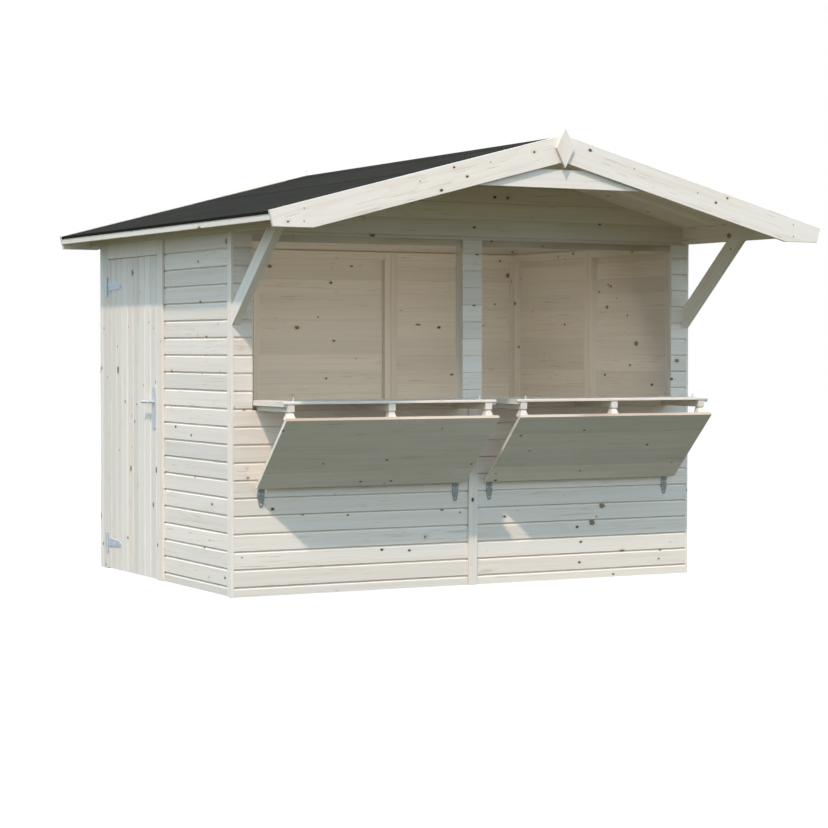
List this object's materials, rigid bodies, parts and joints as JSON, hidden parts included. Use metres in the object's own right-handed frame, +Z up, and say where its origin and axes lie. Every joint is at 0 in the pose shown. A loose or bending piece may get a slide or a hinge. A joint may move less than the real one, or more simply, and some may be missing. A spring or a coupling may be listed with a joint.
{
  "type": "wooden market hut",
  "caption": "Wooden market hut with gabled felt roof and deep front awning, serving counters propped by hinged flaps, and a plank side door that swings open.",
  "frame": {"origin": "on the ground, at the middle of the wall footprint, under the middle floor bearer", "axes": "+X along the front from the door side to the right, +Y from the front to the back, +Z up"},
  "size_m": [3.44, 3.203, 2.5239],
  "materials": {
    "spruce": "planed, untreated",
    "roofing_felt": "mineral bitumen felt, matt",
    "galvanised_steel": "zinc plated, satin"
  },
  "bodies": {
    "hut": {"awning_braces": "spruce", "back_gable": "spruce", "back_panels": "spruce", "back_rails": "spruce", "back_studs": "spruce", "barge_boards_left": "spruce", "barge_boards_right": "spruce", "corner_trims": "spruce", "counter_arms": "spruce", "counter_boards": "spruce", "counter_cleats": "spruce", "counter_feet": "spruce", "counter_pins": "galvanised_steel", "door_trims": "spruce", "eave_fascias": "spruce", "eaves_plates": "spruce", "finials": "spruce", "floor_bearers": "spruce", "floor_deck": "spruce", "front_centre_post": "spruce", "front_columns": "spruce", "front_gable": "spruce", "front_panels": "spruce", "front_rails": "spruce", "front_studs": "spruce", "joint_trims": "spruce", "left_panels": "spruce", "ridge_purlin": "spruce", "right_panels": "spruce", "roof_deck_left": "spruce", "roof_deck_right": "spruce", "roof_felt_left": "roofing_felt", "roof_felt_right": "roofing_felt", "side_rails": "spruce", "side_studs": "spruce", "tie_board": "spruce", "wall_hinge_leaves": "galvanised_steel"},
    "door": {"door_leaf": "spruce", "door_ledges": "spruce", "door_straps": "galvanised_steel", "door_handle": "galvanised_steel"},
    "left_flap": {"left_flap": "spruce", "left_flap_hinges": "galvanised_steel"},
    "right_flap": {"right_flap": "spruce", "right_flap_hinges": "galvanised_steel"}
  },
  "joints": [
    {"name": "door_hinge", "type": "hinge", "parent": "hut", "child": "door", "pos_m": [-1.506, 0.8685, 0.95], "axis": [0, 0, -1], "range_deg": [0, 110]},
    {"name": "left_flap_hinge", "type": "hinge", "parent": "hut", "child": "left_flap", "pos_m": [-0.71875, -1.006, 0.587], "axis": [1, 0, 0], "range_deg": [0, 75]},
    {"name": "right_flap_hinge", "type": "hinge", "parent": "hut", "child": "right_flap", "pos_m": [0.71875, -1.006, 0.587], "axis": [1, 0, 0], "range_deg": [0, 75]}
  ]
}
